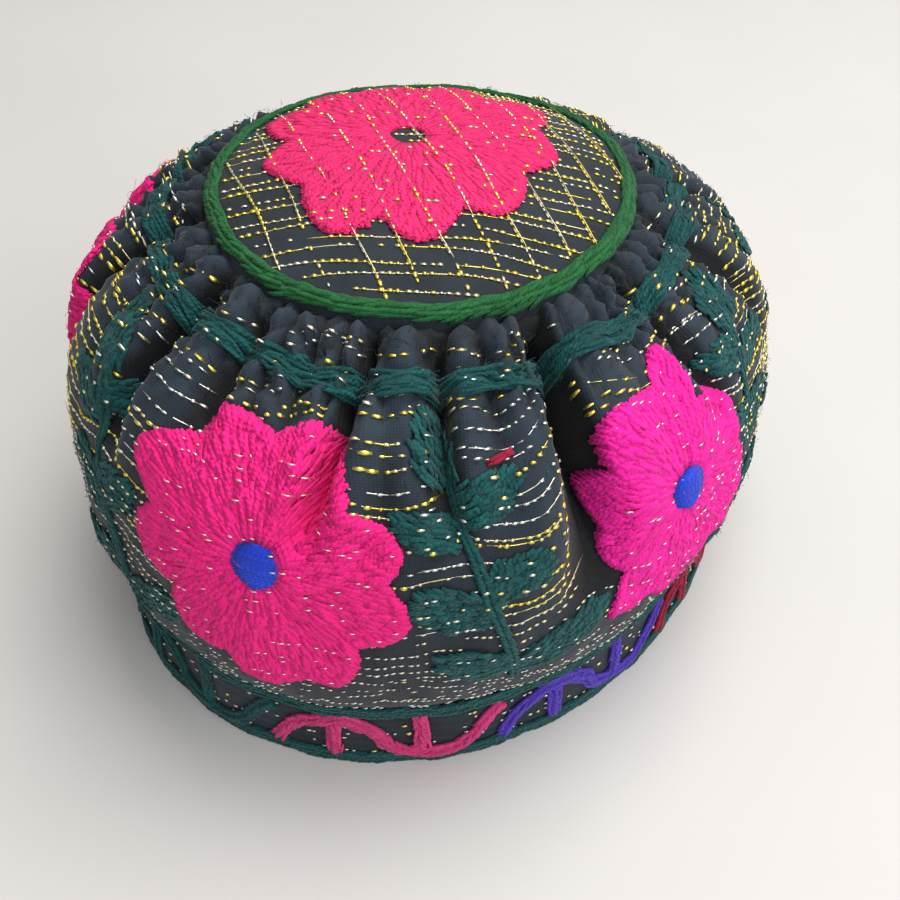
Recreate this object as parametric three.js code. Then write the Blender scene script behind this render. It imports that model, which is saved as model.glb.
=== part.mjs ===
// Tubeteika skullcap: an oval cap of padded cloth. A domed crown sits on a wall that is gathered into
// puckers and pleats under it, swells out below them and is sewn behind a straight hem band. A raised
// stitched cord runs round the edge of the crown and a second one holds the gathers.
// Millimetres, +Z up. The origin is on the surface that the cap rests on, in the middle of its rim,
// and +Y runs along the long axis of the head oval.
import * as THREE from 'three';
import { mergeVertices } from 'three/addons/utils/BufferGeometryUtils.js';

// Head oval, the lean of the crown and the sag of its back
const OVAL = 0.068;
const LEAN_SLOPE = 0.098;
const LEAN_HEADING = THREE.MathUtils.degToRad(40);
const LEAN_FULL_HEIGHT = 104;
const SAG_DEPTH = 3.6;
const SAG_REACH = 50;
const SAG_HEADING = THREE.MathUtils.degToRad(124.4);

// Cloth, seams and the steps round the cap
const CLOTH_THICKNESS = 2;
const SEAM_GAP = 0.5;
const WALL_STEPS = 132;
const RING_STEPS = 66;
const PUCKERS = WALL_STEPS / 2;
const PUCKER_DEPTH = 2.2;

// Hem band
const BAND_HEIGHT = 21;
const BAND_THICKNESS = 2.4;
const BAND_FOOT_RADIUS = 88;
const BAND_TOP_RADIUS = 86.4;
const BAND_EDGE = 0.5;

// Raised stitched cords
const CROWN_CORD_HEIGHT = 2.2;
const GATHER_CORD_HEIGHT = 1.8;

// Outer face of the wall from the lap behind the band up to the edge under the crown: mean radius,
// height, and how much of the pleats and of the puckers shows there.
const WALL_STATIONS = [
  { name: 'lap edge', radius: 84.2, height: 12, pleat: 0, pucker: 0 },
  { name: 'lap top', radius: 83.5, height: 20.6, pleat: 0, pucker: 0 },
  { name: 'swell', radius: 88.4, height: 26, pleat: 0.05, pucker: 0 },
  { name: 'belly', radius: 91.8, height: 34, pleat: 0.1, pucker: 0 },
  { name: 'bulge', radius: 94, height: 48, pleat: 0.2, pucker: 0 },
  { name: 'flank', radius: 92.6, height: 62, pleat: 0.45, pucker: 0 },
  { name: 'shoulder', radius: 89.2, height: 77, pleat: 0.75, pucker: 0.05 },
  { name: 'roll', radius: 82.4, height: 90, pleat: 1, pucker: 0.2 },
  { name: 'slope', radius: 73.5, height: 97.6, pleat: 1, pucker: 0.5 },
  { name: 'cord low', radius: 65.6, height: 101.4, pleat: 0.8, pucker: 0.9 },
  { name: 'cord high', radius: 61, height: 103.6, pleat: 0.7, pucker: 1 },
  { name: 'crest', radius: 56.8, height: 105.4, pleat: 0.5, pucker: 1 },
  { name: 'tuck', radius: 52.6, height: 104.8, pleat: 0.2, pucker: 0.6 },
  { name: 'edge', radius: 48, height: 105.2, pleat: 0, pucker: 0.2 },
];

// Deep pleats that run down from the gathers: compass angle at the top, how far the fold has swung
// round at its foot, its depth, half its width, and the height where it has died out.
const PLEATS = [
  { angle: -150, swing: 3, depth: 5, halfWidth: 5, foot: 76 },
  { angle: -128, swing: -3, depth: 6, halfWidth: 6, foot: 64 },
  { angle: -103, swing: -5, depth: 5, halfWidth: 5, foot: 80 },
  { angle: -86, swing: 0, depth: 3, halfWidth: 4, foot: 90 },
  { angle: -66, swing: -5, depth: 7, halfWidth: 5, foot: 76 },
  { angle: -52, swing: 1, depth: 5, halfWidth: 4.5, foot: 84 },
  { angle: -28, swing: -3, depth: 8, halfWidth: 7, foot: 56 },
  { angle: 1, swing: 2, depth: 4.5, halfWidth: 5, foot: 84 },
  { angle: 28, swing: 2, depth: 6, halfWidth: 6, foot: 70 },
  { angle: 55, swing: -3, depth: 5, halfWidth: 5, foot: 78 },
  { angle: 82, swing: 3, depth: 7, halfWidth: 6, foot: 62 },
  { angle: 108, swing: -2, depth: 4.5, halfWidth: 5, foot: 82 },
  { angle: 134, swing: 3, depth: 6, halfWidth: 6, foot: 66 },
  { angle: 163, swing: -3, depth: 5, halfWidth: 5, foot: 78 },
  { angle: 186, swing: 2, depth: 6.5, halfWidth: 6, foot: 66 },
];

// Upper face of the crown from the middle out to its edge, and its lower face back to the middle.
const CROWN_TOP = [
  { name: 'middle', radius: 0, height: 118 },
  { name: 'dome', radius: 18, height: 117.3 },
  { name: 'fall', radius: 34, height: 114.9 },
  { name: 'cord inside', radius: 46.6, height: 111.1 },
  { name: 'cord outside', radius: 52, height: 108.9 },
  { name: 'edge', radius: 52.8, height: 107.8 },
];
const CROWN_UNDERSIDE = [
  { name: 'edge', radius: 52.2, height: 106.8 },
  { name: 'seam', radius: 46.4, height: 107.9 },
  { name: 'fall', radius: 33.6, height: 112.5 },
  { name: 'dome', radius: 17.8, height: 114.9 },
  { name: 'middle', radius: 0, height: 115.6 },
];

// Section of a stitched cord: how far in from its foot and how high each corner stands, as shares.
const CORD_SECTION = [
  { along: 0, rise: 0 },
  { along: 0.1, rise: 0.7 },
  { along: 0.5, rise: 1 },
  { along: 0.9, rise: 0.7 },
  { along: 1, rise: 0 },
];

const charcoalCloth = { color: 0x2b2d33, roughness: 0.95, metalness: 0 };
const greenThread = { color: 0x1d6b2f, roughness: 0.9, metalness: 0 };
const tealThread = { color: 0x0f4b45, roughness: 0.9, metalness: 0 };

// A point of the cap: the head oval, the lean and the sag laid over a plain round form.
function place(angle, radius, height) {
  const reach = radius * (1 - OVAL * Math.cos(2 * angle));
  const x = reach * Math.cos(angle);
  const y = reach * Math.sin(angle);
  const share = THREE.MathUtils.clamp(height / LEAN_FULL_HEIGHT, 0, 1) ** 2;
  const downhill = x * Math.cos(LEAN_HEADING) + y * Math.sin(LEAN_HEADING);
  const back = x * Math.cos(SAG_HEADING) + y * Math.sin(SAG_HEADING);
  const sag = SAG_DEPTH * THREE.MathUtils.clamp(back / SAG_REACH, 0, 1) ** 2;
  return new THREE.Vector3(x, y, height - share * (LEAN_SLOPE * downhill + sag));
}

// One closed skin through the section at each step round the cap. A section is a loop of points
// (radius, height) that closes on itself or starts and ends on the axis.
function sweep(steps, sectionAt) {
  const rows = sectionAt(0).length;
  const geometry = new THREE.LatheGeometry(sectionAt(0), steps);
  const position = geometry.getAttribute('position');
  for (let step = 0; step <= steps; step += 1) {
    const angle = ((step % steps) / steps) * 2 * Math.PI;
    sectionAt(angle).forEach((point, row) => {
      const { x, y, z } = place(angle, point.x, point.y);
      position.setXYZ(step * rows + row, x, y, z);
    });
  }
  geometry.deleteAttribute('normal');
  geometry.deleteAttribute('uv');
  const skin = mergeVertices(geometry);
  skin.computeVertexNormals();
  return skin;
}

function pointOf(station) {
  return new THREE.Vector2(station.radius, station.height);
}

// Direction out of the cloth between two points of a section that climbs on its outer side.
function outward(from, to) {
  const along = to.clone().sub(from).normalize();
  return new THREE.Vector2(along.y, -along.x);
}

function stationNormal(index) {
  const before = WALL_STATIONS[Math.max(index - 1, 0)];
  const after = WALL_STATIONS[Math.min(index + 1, WALL_STATIONS.length - 1)];
  return outward(pointOf(before), pointOf(after));
}

// How deep the pleats cut into the wall at an angle and height, with neighbouring folds added up.
function pleatDepth(angle, height) {
  const degrees = THREE.MathUtils.radToDeg(angle);
  const top = WALL_STATIONS.at(-1).height;
  let depth = 0;
  for (const pleat of PLEATS) {
    const run = THREE.MathUtils.clamp((top - height) / (top - pleat.foot), 0, 1);
    const turn = THREE.MathUtils.euclideanModulo(degrees - pleat.angle - pleat.swing * run + 180, 360) - 180;
    const across = Math.min(Math.abs(turn) / pleat.halfWidth, 1);
    depth += pleat.depth * (1 - across ** 2) ** 2 * (1 - run ** 2);
  }
  return depth;
}

// The outer face of the wall at one angle, pushed in and out by its pleats and puckers.
function wallFace(angle) {
  return WALL_STATIONS.map((station, index) => {
    const pucker = station.pucker * (PUCKER_DEPTH / 2) * Math.cos(PUCKERS * angle);
    const push = pucker - station.pleat * pleatDepth(angle, station.height);
    return pointOf(station).addScaledVector(stationNormal(index), push);
  });
}

function wallSection(angle) {
  const outer = wallFace(angle);
  const inner = outer.map((point, index) => (
    point.clone().addScaledVector(stationNormal(index), -CLOTH_THICKNESS)
  ));
  return [...outer, ...inner.reverse(), outer[0].clone()];
}

function bandSection() {
  const lower = BAND_EDGE;
  const upper = BAND_HEIGHT - BAND_EDGE;
  const footInside = BAND_FOOT_RADIUS - BAND_THICKNESS;
  const topInside = BAND_TOP_RADIUS - BAND_THICKNESS;
  return [
    new THREE.Vector2(BAND_FOOT_RADIUS - BAND_EDGE, 0),
    new THREE.Vector2(BAND_FOOT_RADIUS, lower),
    new THREE.Vector2(BAND_TOP_RADIUS, upper),
    new THREE.Vector2(BAND_TOP_RADIUS - BAND_EDGE, BAND_HEIGHT),
    new THREE.Vector2(topInside + BAND_EDGE, BAND_HEIGHT),
    new THREE.Vector2(topInside, upper),
    new THREE.Vector2(footInside, lower),
    new THREE.Vector2(footInside + BAND_EDGE, 0),
    new THREE.Vector2(BAND_FOOT_RADIUS - BAND_EDGE, 0),
  ];
}

function crownSection() {
  return [...CROWN_UNDERSIDE].reverse().concat([...CROWN_TOP].reverse()).map(pointOf);
}

// A rounded cord laid on the cloth from the lower point of its seat to the upper one.
function cordSection(low, high, height) {
  const normal = outward(low, high);
  const loop = CORD_SECTION.map(({ along, rise }) => (
    low.clone().lerp(high, along).addScaledVector(normal, SEAM_GAP + rise * height)
  ));
  return [...loop, loop[0].clone()];
}

function gatherCordSection(angle) {
  const face = wallFace(angle);
  const seat = (name) => face[WALL_STATIONS.findIndex((station) => station.name === name)];
  return cordSection(seat('cord low'), seat('cord high'), GATHER_CORD_HEIGHT);
}

function crownCordSection() {
  const seat = (name) => pointOf(CROWN_TOP.find((station) => station.name === name));
  return cordSection(seat('cord outside'), seat('cord inside'), CROWN_CORD_HEIGHT);
}

function piece(name, geometry, finish) {
  const mesh = new THREE.Mesh(geometry, new THREE.MeshStandardMaterial(finish));
  mesh.name = name;
  return mesh;
}

const cap = new THREE.Group();
cap.add(
  piece('crown', sweep(RING_STEPS, crownSection), charcoalCloth),
  piece('crown_cord', sweep(RING_STEPS, crownCordSection), greenThread),
  piece('wall', sweep(WALL_STEPS, wallSection), charcoalCloth),
  piece('gather_cord', sweep(WALL_STEPS, gatherCordSection), tealThread),
  piece('hem_band', sweep(RING_STEPS, bandSection), charcoalCloth),
);

export default cap;
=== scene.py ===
import math
from collections import namedtuple
from functools import partial
from itertools import product

import bpy
import numpy as np
from bpy.props import FloatProperty, FloatVectorProperty, IntProperty, PointerProperty
from mathutils import Matrix, Vector


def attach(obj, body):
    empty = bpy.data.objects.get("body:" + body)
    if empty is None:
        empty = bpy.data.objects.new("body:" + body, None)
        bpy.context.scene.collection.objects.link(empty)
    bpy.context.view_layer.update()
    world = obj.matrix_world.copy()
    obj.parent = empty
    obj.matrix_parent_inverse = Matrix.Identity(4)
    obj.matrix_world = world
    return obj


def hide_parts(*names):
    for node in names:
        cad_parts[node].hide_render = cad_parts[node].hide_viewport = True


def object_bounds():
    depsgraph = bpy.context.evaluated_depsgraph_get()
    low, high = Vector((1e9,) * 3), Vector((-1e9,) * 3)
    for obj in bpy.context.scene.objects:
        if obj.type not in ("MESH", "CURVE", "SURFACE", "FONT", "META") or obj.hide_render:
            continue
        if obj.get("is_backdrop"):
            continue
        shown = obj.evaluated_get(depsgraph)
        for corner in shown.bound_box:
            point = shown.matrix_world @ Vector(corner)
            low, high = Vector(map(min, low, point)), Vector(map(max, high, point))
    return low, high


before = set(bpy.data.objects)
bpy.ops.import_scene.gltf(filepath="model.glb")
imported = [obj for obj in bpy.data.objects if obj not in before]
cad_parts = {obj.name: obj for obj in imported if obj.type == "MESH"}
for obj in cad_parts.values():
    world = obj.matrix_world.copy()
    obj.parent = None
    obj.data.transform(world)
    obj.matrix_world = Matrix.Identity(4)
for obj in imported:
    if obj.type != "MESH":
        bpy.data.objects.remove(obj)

bl_info = {
    "name": "Embroidered Skullcap",
    "version": (1, 0, 0),
    "blender": (4, 5, 0),
    "location": "View3D > Sidebar > Skullcap",
    "description": "Dresses a gathered skullcap in cloth, embroidery and metallic weft",
    "category": "Object",
}

CAD_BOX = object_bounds()
MM = 0.001
SEED = 7
TURN = 2 * math.pi
THREAD_SIZES = ("cloth", "band", "pucker", "floss", "wool", "weft", "weft_rows")

# Head oval, the lean of the crown and the sag of its back
OVAL = 0.068
LEAN_SLOPE = 0.098
LEAN_HEADING = math.radians(40)
LEAN_FULL_HEIGHT = 104
SAG_DEPTH = 3.6
SAG_REACH = 50
SAG_HEADING = math.radians(124.4)
SLUMP = 3
SLUMP_START = 88
SLUMP_LENGTH = 18
SHIFT = 2.6
SHIFT_HEADING = math.radians(34.4)
SHIFT_FULL_HEIGHT = 50

# Outer face of the wall from the lap behind the band up to the edge under the crown
Station = namedtuple("Station", "radius height pleat pucker")
WALL_STATIONS = (
    Station(83.6, 12, 0, 0),
    Station(83.8, 20.4, 0, 0),
    Station(87.5, 22, 0, 0),
    Station(90, 25.6, 0.05, 0),
    Station(92.6, 34, 0.1, 0),
    Station(94, 48, 0.2, 0),
    Station(92.6, 62, 0.6, 0),
    Station(89.2, 77, 0.9, 0.05),
    Station(82.4, 90, 1, 0.2),
    Station(73.5, 97.6, 1, 0.5),
    Station(65.6, 101.4, 0.8, 0.9),
    Station(61, 103.6, 0.7, 0.9),
    Station(56.6, 107.3, 0.5, 0.75),
    Station(53.2, 108.1, 0.2, 0.5),
    Station(48.6, 105.4, 0, 0.2),
)
RISING_STATIONS = 13
LAST_ROW_STATION = -4
ROW_TOP_STATION = -3
HAIR_TOP_STATION = -2

# Deep pleats: angle at the top, swing at the foot, depth, half width and the height where each dies out
Pleat = namedtuple("Pleat", "angle swing depth half_width foot")
PLEATS = (
    Pleat(-152, 3, 6, 5, 74),
    Pleat(-129, -3, 12, 5.5, 60),
    Pleat(-104, -4, 9, 5, 76),
    Pleat(-91, 0, 5, 4, 88),
    Pleat(-67.5, -7.5, 13, 4, 76),
    Pleat(-55, 1, 9, 4, 78),
    Pleat(-31.4, -1.5, 18, 7.2, 46),
    Pleat(-3, 2, 6, 5, 72),
    Pleat(25, 2, 8, 6, 68),
    Pleat(52, -3, 6, 5, 76),
    Pleat(80, 3, 8, 6, 60),
    Pleat(106, -2, 6, 5, 80),
    Pleat(132, 3, 8, 6, 64),
    Pleat(161, -3, 6, 5, 76),
    Pleat(184, 2, 8, 6, 64),
)
FOLD_PUSH = 1.1
SHOULDER_PUSH = 0.14
LAP_PUSH = 0.28
# Fold depth at which the cloth's painted shade is full
FULL_SHADE_DEPTH = 4.5
PUCKERS = 66
STITCHED_PUCKER = 0.4
GATHERED_PUCKER = 0.45
WALL_INSET = 0.8
WALL_GRID = (528, 64)
WALL_WEAVE = (570, 125)

# Unevenness of hand-sewn cloth and of its rings, as waves round the cap and up it
Wave = namedtuple("Wave", "size turns climb phase")
PUCKER_WANDER = (Wave(0.016, 5, 0, 0.6), Wave(0.011, 13, 0, 2), Wave(0.006, 29, 0, 0))
WALL_SLACK = (
    Wave(0.5, 9, 0.05, 0),
    Wave(0.35, 23, -0.11, 1),
    Wave(0.16, 47, 0.31, 0),
    Wave(0.12, 83, -0.2, 2),
)
BAND_UNEVEN = (Wave(0.22, 19, 0, 0), Wave(0.16, 37, 0.3, 0))
CROWN_RING_UNEVEN = (Wave(0.2, 7, 0, 0), Wave(0.15, 19, 0, 1))
GATHER_UNEVEN = (Wave(0.8, 11, 0, 0), Wave(0.5, 29, 0, 0))

# Upper face of the crown from the middle over the edge
Ring = namedtuple("Ring", "radius height")
CROWN_RINGS = (
    Ring(0, 118),
    Ring(18, 117.3),
    Ring(34, 114.9),
    Ring(46.6, 111.1),
    Ring(50.4, 109.4),
    Ring(51.6, 108.3),
    Ring(52, 106.8),
    Ring(52.3, 104.6),
)
CROWN_GRID = (88, 88)
CROWN_WEAVE = (105, 105)

# Kinds of rope stitching: length of a stitch, its pitch as a share of that, looseness, arch and thickness
Rope = namedtuple("Rope", "stitch pitch loose arch thick")
CROWN_ROPE = Rope(6.0, 0.3, 0.25, 0.35, 0.85)
GATHER_ROPE = Rope(9.0, 0.34, 0.4, 0.3, 0.55)
STEM_ROPE = Rope(5.5, 0.4, 0.12, 0.3, 0.7)
TICK_ROPE = Rope(5.0, 0.4, 0.12, 0.3, 0.7)
BORDER_ROPE = Rope(6.0, 0.36, 0.3, 0.4, 0.8)
VINE_ROPE = Rope(4.2, 0.36, 0.35, 0.45, 0.85)
ROPE_STITCHES = (0.85, 1.15)
ROPE_LOOSE = 0.18

# Stitched rings on the crown's edge and over the gathers: rows of slanting stitches
RING_RADIUS = 49.9
Row = namedtuple("Row", "offset slant lift")
RING_ROWS = (
    Row(-1.2, 0.7, 0.2),
    Row(-0.4, -0.8, 0.3),
    Row(0.4, 0.8, 0.3),
    Row(1.1, -0.6, 0.2),
    Row(-0.6, 0.7, 0.6),
    Row(0.5, 0.9, 0.6),
)
RING_LIFT = (-0.15, 0.25)
CROWN_RING_POINTS = 400
GATHER_HEIGHT = 102.2
GATHER_HALF_WIDTH = 2.3
GATHER_ROWS = 11
GATHER_SLANT = 0.8
GATHER_LIFT = (0.5, 1.3)
GATHER_RING_POINTS = 700
RING_TURNS = 1.05

# Hem band
BAND_HEIGHT = 21
BAND_FOOT_RADIUS = 88
BAND_TOP_RADIUS = 86.4
BAND_SQUARENESS = 0.28
BAND_GRID = (264, 36)
BAND_WEAVE = (550, 46)

# Petals of a flower: heading and reach of the tip, then of the notch that follows it counterclockwise
Petal = namedtuple("Petal", "heading reach notch_heading notch_reach")
WALL_PETALS = (
    Petal(12, 31.5, 38, 25),
    Petal(67, 34.5, 90, 27.7),
    Petal(114, 32.5, 128, 28),
    Petal(157, 34, 173, 27.2),
    Petal(194, 34.7, 212, 24.5),
    Petal(234, 35, 253, 29),
    Petal(267, 37, 288, 33),
    Petal(299, 37, 320, 28.5),
    Petal(339, 35.6, 359, 28),
)
SPIKED_PETALS = (
    Petal(22, 27, 66, 20.5),
    Petal(80, 36, 93, 28),
    Petal(113, 30.5, 133, 22),
    Petal(157, 24.5, 184, 21),
    Petal(203, 25.5, 217, 23.5),
    Petal(229, 36.5, 249, 30),
    Petal(268, 36, 292, 30),
    Petal(325, 33, 352, 25),
)
CROWN_PETALS = (
    Petal(29, 35.5, 51, 33),
    Petal(73, 43, 90, 34),
    Petal(105, 39, 119, 33),
    Petal(132, 39, 147, 33),
    Petal(161, 39, 176, 31.5),
    Petal(194, 36.5, 216, 27.5),
    Petal(232, 35, 255, 31),
    Petal(280, 41, 292, 32.5),
    Petal(307, 39.5, 327, 29.5),
    Petal(341, 35.5, 11, 28.7),
)

# Wall flowers: angle, height of the eye, floss, petals and how far they are turned
Flower = namedtuple("Flower", "name angle height floss petals turn")
WALL_FLOWERS = (
    Flower("flower_front", -79.7, 72.8, "pink", WALL_PETALS, 0),
    Flower("flower_right", -15.1, 70.8, "magenta", SPIKED_PETALS, 0),
    Flower("flower_back_right", 87, 58, "pink", WALL_PETALS, 97),
    Flower("flower_back_left", 144, 70, "magenta", SPIKED_PETALS, 160),
    Flower("flower_left", -151, 71, "pink", WALL_PETALS, 228),
)

# Layers of petal stitches: flat padding and the fine stitches over it, in shares of the floss's width
PetalLayer = namedtuple("PetalLayer", "spacing stitch width thick lift")
PETAL_LAYERS = (
    PetalLayer(1.8, 8.0, 2, 0.6, 0.1),
    PetalLayer(1, 5.5, 1.6, 0.38, 0.4),
)
PETAL_LIFT = (0, 0.3)
PETAL_ARCH = 0.2
PETAL_END = 0.75
PETAL_STITCHES = (0.85, 1.35)
PETAL_EDGE = (-0.45, 0.25)
PETAL_LOOSE = 0.35
PETAL_ROW_STEP = 0.62
FLOSS_PITCH = 0.8
PETAL_FINISH = {"sheen": 0.04, "gloss": 0.1}
PETAL_DYE = 0.95
PETAL_MARGIN = -1.2
EYE_RADIUS = 5.4
EYE_LIFT = 0.75
EYE_ARCH = 0.5
EYE_THICK = 0.8
EYE_PITCH = 0.7
EYE_FILL = 0.93
PETAL_LIMIT = 44
CROWN_FLOWER_CENTRE = (-6.3, 2.0)
CROWN_EYE_RADIUS = 4.6

# Leaf sprays: the stem and the leaves from base to tip, in millimetres right and up on the cloth
SPRAY_STEM = ((-3.8, 33), (-1.1, 22), (1.5, 7.5), (5, -6), (9.8, -23), (12, -36))
STEM_ROWS = (Row(-0.7, 1.2, 0.4), Row(0.7, 1.2, 0.4))
LEAF_STITCH = 3.6
LEAF_PITCH = 1.7
LEAF_COLUMNS = 0.95
LEAF_MARGIN = 0.4
LEAF_EDGE = (-0.7, 0.4)
LEAF_SLANT = 9
LEAF_LIFT = (0.15, 0.6)
LEAF_ARCH = 0.25
LEAF_END = 0.7
LEAF_WIDTH = 1.3
LEAF_THICK = 0.5
LEAF_DYE = 0.6
LEAF_DYE_SHARE = 0.92
RED_TICK = ((6, 25.2), (8.8, 25.7), (11.5, 26.4))
TICK_ROWS = (Row(-0.4, 0.4, 0.3), Row(0.4, 0.4, 0.3))
Leaf = namedtuple("Leaf", "base tip width")
SPRAY_LEAVES = (
    Leaf((-2, 20), (-5.8, 38), 11),
    Leaf((0, 14), (12.5, 22), 9.5),
    Leaf((-0.5, 9), (-14.5, 15), 8.5),
    Leaf((4, -5), (19, 3), 11),
    Leaf((5.5, -11), (-12.5, -4), 12),
    Leaf((11, -32), (36, -20), 10.5),
    Leaf((11, -29), (-8, -23.5), 10),
)
Spray = namedtuple("Spray", "name angle height flip")
SPRAYS = (
    Spray("spray_front", -53, 72, 1),
    Spray("spray_right", 9.5, 72, -1),
    Spray("spray_back_right", 113, 72, 1),
    Spray("spray_back_left", 177, 72, -1),
    Spray("spray_left", -111, 72, 1),
    Spray("spray_far_right", 46, 70, -1),
)

# Vine of the band: one unit as shares of its width and of the band's height, and its short ticks
VINE_LINE = ((0, 0.12), (0.18, 0.68), (0.3, 0.78), (0.42, 0.62), (0.58, 0.2), (0.68, 0.15), (1, 0.8))
VINE_TICKS = (((0.27, 0.74), (0.28, 0.16)), ((0.655, 0.2), (0.64, 0.84)))
VINE_START = -82
VINE_POINTS = 60
TICK_POINTS = 12
VINE_COLOURS = (
    "rose", "purple", "crimson", "teal", "rose", "purple", "teal", "rose", "crimson", "teal",
)
VINE_SLOTS = {
    "rose": "pink_thread",
    "purple": "purple_thread",
    "crimson": "pink_thread",
    "teal": "teal_thread",
}
VINE_ROWS = (
    Row(-1.4, 0.8, 0.3),
    Row(-0.5, -0.9, 0.4),
    Row(0.5, 0.9, 0.4),
    Row(1.4, -0.8, 0.3),
    Row(0.0, 1.2, 0.8),
)
BORDER_HEIGHTS = (1.9, 19.7)
BORDER_ROWS = (Row(-1.2, 1.0, 0.35), Row(0.0, -1.1, 0.35), Row(1.2, 1.0, 0.35))
BORDER_TURNS = 1.04
BORDER_POINTS = 500

# Metallic weft: beads on a thin yarn, finer and sparser in the low rows of the wall
BEAD_PITCH = 1.75
LOW_BEAD_PITCH = 1.5
BEAD_LOOSE = 0.16
BEAD_LENGTHS = (0.8, 1.5)
BEAD_WIDTHS = (0.7, 1.25)
BEAD_THICK = 0.55
BEAD_ARCH = 0.12
BEAD_END = 0.6
BEAD_LIFT = 0.12
LIFT_ON_PETALS = 0.95
LIFT_ON_LEAVES = 0.9
SHARE_ON_PETALS = 0.28
SHARE_ON_LEAVES = 0.45
YARN_LENGTH = 6
YARN_WIDTH = 0.34
YARN_THICK = 0.6
YARN_LIFT = 0.05
ROWS_START = 17
ROW_STEPS = (0.85, 1.15)
LOW_ROW_STEP = 0.72
LOW_BEAD_WIDTH = 0.65
FULL_WIDTH_RUN = 60
PETAL_BEAD_WIDTH = 0.5
PETAL_BEAD_GOLD = 0.3
GOLD_START = 38
GOLD_REACH = 20
GOLD_CHANCE = 0.22
LOW_ROWS = 34
YARN_ROWS = 46
YARN_TOP = 98
DEEP_SHADE = 0.55
BAND_ROWS = (4.0, 18.5, 2.4)
BAND_BEADS = 230
BAND_BEAD_SHARE = 0.32
BAND_BEAD_LIFT = 0.2
BAND_BEAD_LOOSE = 0.3

# The two directions of the crown's weft: their spacing, and how they cross the petals
CrownWeft = namedtuple("CrownWeft", "heading gap petal_share yarn_on_petals yarn_lift")
CROWN_WEFTS = (
    CrownWeft(34.4, 3.5, 0.1, False, 0.05),
    CrownWeft(-36.6, 8.8, 0.6, True, 0.75),
)
CROWN_BEAD_LIFT = 0.14

# Loose hairs, many of them among the gathers
HAIR_WIDTH = 0.11
GATHER_HAIR_SHARE = 0.4
HAIR_BEND = 1.4
HAIR_END = 0.5
HAIRY_ABOVE = 99
SHAGGY_ABOVE = 103
WOOLLY_REACH = 3.5

# Light: where each soft lamp stands and its side, in metres, its power and colour
Lamp = namedtuple("Lamp", "name where size power colour")
LAMPS = (
    Lamp("key", (0.15, 0.35, 1.1), 0.8, 12.5, (1.0, 0.98, 0.95)),
    Lamp("side", (0.95, -0.15, 0.7), 0.8, 7, (0.93, 0.95, 1.0)),
    Lamp("fill", (0.75, -0.9, 0.85), 1.0, 4.0, (1.0, 0.98, 0.96)),
)
LAMP_AIM = (0, 0, 0.06)
SKY_COLOUR = (0.9, 0.94, 1.0, 1)
SKY_STRENGTH = 0.34
FLOOR_SIZE = 40

# Camera: where it stands and what it aims at, in millimetres and degrees
CAMERA_DISTANCE = 317.5
CAMERA_ELEVATION = math.radians(41.4)
CAMERA_AZIMUTH = math.radians(34.4)
CAMERA_RISE = 50
CAMERA_AIM = (5.5, 3.8, 17.3)
CAMERA_ROLL = math.radians(-1.3)
CAMERA_LENS = 46.03


class SkullcapSizes(bpy.types.PropertyGroup):
    """Sizes of the cloth and of the threads"""

    cloth: FloatProperty(
        name="Cloth", description="Thickness of the padded cloth", default=0.002, unit="LENGTH")
    band: FloatProperty(
        name="Band", description="Thickness of the folded hem band", default=0.0024, unit="LENGTH")
    pucker: FloatProperty(
        name="Pucker", description="Depth of the small gathers", default=0.0038, unit="LENGTH")
    floss: FloatProperty(
        name="Floss", description="Width of a satin stitch", default=0.0008, unit="LENGTH")
    wool: FloatProperty(
        name="Wool", description="Width of a stitch in the rings and leaves", default=0.00095,
        unit="LENGTH")
    weft: FloatProperty(
        name="Weft", description="Width of a metallic dash", default=0.00068, unit="LENGTH")
    weft_rows: FloatProperty(
        name="Weft Rows", description="Distance between the metallic rows", default=0.0031,
        unit="LENGTH")
    hairs: IntProperty(
        name="Hairs", description="Loose hairs on the whole cap", default=5400, min=0)


class SkullcapColours(bpy.types.PropertyGroup):
    """Colours of the cloth and of the threads"""

    cloth: FloatVectorProperty(
        name="Cloth", description="Charcoal ground cloth", subtype="COLOR",
        default=(0.0092, 0.0158, 0.0228))
    green: FloatVectorProperty(
        name="Green", description="Ring round the crown", subtype="COLOR", default=(0.011, 0.108, 0.028))
    teal: FloatVectorProperty(
        name="Teal", description="Leaves, gather ring and borders", subtype="COLOR",
        default=(0.005, 0.068, 0.066))
    pink: FloatVectorProperty(
        name="Pink", description="Petals", subtype="COLOR", default=(0.84, 0.02, 0.22))
    magenta: FloatVectorProperty(
        name="Magenta", description="Petals of the right flower", subtype="COLOR",
        default=(0.86, 0.02, 0.33))
    rose: FloatVectorProperty(
        name="Rose", description="Vine of the band", subtype="COLOR", default=(0.64, 0.04, 0.19))
    coral: FloatVectorProperty(
        name="Coral", description="Petals of the crown", subtype="COLOR", default=(0.76, 0.026, 0.15))
    blue: FloatVectorProperty(
        name="Blue", description="Eyes of the flowers", subtype="COLOR", default=(0.012, 0.05, 0.55))
    purple: FloatVectorProperty(
        name="Purple", description="Vine of the band", subtype="COLOR", default=(0.085, 0.042, 0.43))
    crimson: FloatVectorProperty(
        name="Crimson", description="Vine of the band", subtype="COLOR", default=(0.32, 0.008, 0.035))
    gold: FloatVectorProperty(
        name="Gold", description="Gold weft", subtype="COLOR", default=(0.9, 0.74, 0.14))
    silver: FloatVectorProperty(
        name="Silver", description="Silver weft", subtype="COLOR", default=(0.86, 0.86, 0.8))
    floor: FloatVectorProperty(
        name="Floor", description="Plain floor", subtype="COLOR", default=(0.62, 0.6, 0.57))


# Shapes of the cloth

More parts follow.
